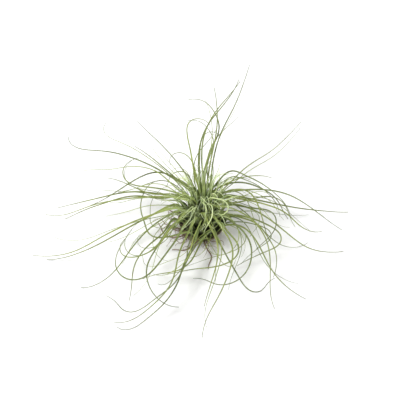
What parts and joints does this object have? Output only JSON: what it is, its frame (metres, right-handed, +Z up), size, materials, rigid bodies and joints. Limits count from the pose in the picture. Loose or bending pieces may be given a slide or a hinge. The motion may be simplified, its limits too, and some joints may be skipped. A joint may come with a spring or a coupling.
{
  "type": "air plant",
  "caption": "Stemless air plant with long wiry curling leaves around a small bulb of leaf sheaths, resting on its base.",
  "frame": {"origin": "centre of the stem's flat foot, which the plant rests on", "axes": "+Z up out of the bulb; +X along the widest spread of the leaves"},
  "size_m": [0.1648, 0.1331, 0.0579],
  "materials": {
    "leaf": "matt, finely scaled, olive green",
    "young_leaf": "matt, silvery sage green",
    "stem": "dry and fibrous",
    "root": "dry and wiry"
  },
  "bodies": {
    "root": {"stem": "stem", "bud": "young_leaf", "root_1": "root", "root_2": "root", "root_3": "root", "root_4": "root", "leaf_01": "leaf", "leaf_02": "leaf", "leaf_03": "leaf", "leaf_04": "leaf", "leaf_05": "leaf", "leaf_06": "leaf", "leaf_07": "leaf", "leaf_08": "leaf", "leaf_09": "leaf", "leaf_10": "leaf", "leaf_11": "leaf", "leaf_12": "leaf", "leaf_13": "leaf", "leaf_14": "leaf", "leaf_15": "leaf", "leaf_16": "leaf", "leaf_17": "leaf", "leaf_18": "leaf", "leaf_19": "leaf", "leaf_20": "leaf", "leaf_21": "leaf", "leaf_22": "leaf", "leaf_23": "leaf", "leaf_24": "leaf", "leaf_25": "leaf", "leaf_26": "leaf", "leaf_27": "leaf", "leaf_28": "leaf", "leaf_29": "leaf", "leaf_30": "leaf", "leaf_31": "leaf", "leaf_32": "leaf", "leaf_33": "leaf", "leaf_34": "leaf", "leaf_35": "leaf", "leaf_36": "leaf", "leaf_37": "leaf", "leaf_38": "leaf", "leaf_39": "leaf", "leaf_40": "leaf", "leaf_41": "leaf", "leaf_42": "leaf", "leaf_43": "leaf", "leaf_44": "leaf", "leaf_45": "leaf", "leaf_46": "leaf", "leaf_47": "leaf", "leaf_48": "leaf", "leaf_49": "leaf", "leaf_50": "leaf", "leaf_51": "leaf", "leaf_52": "leaf", "leaf_53": "leaf", "leaf_54": "leaf"}
  },
  "joints": []
}
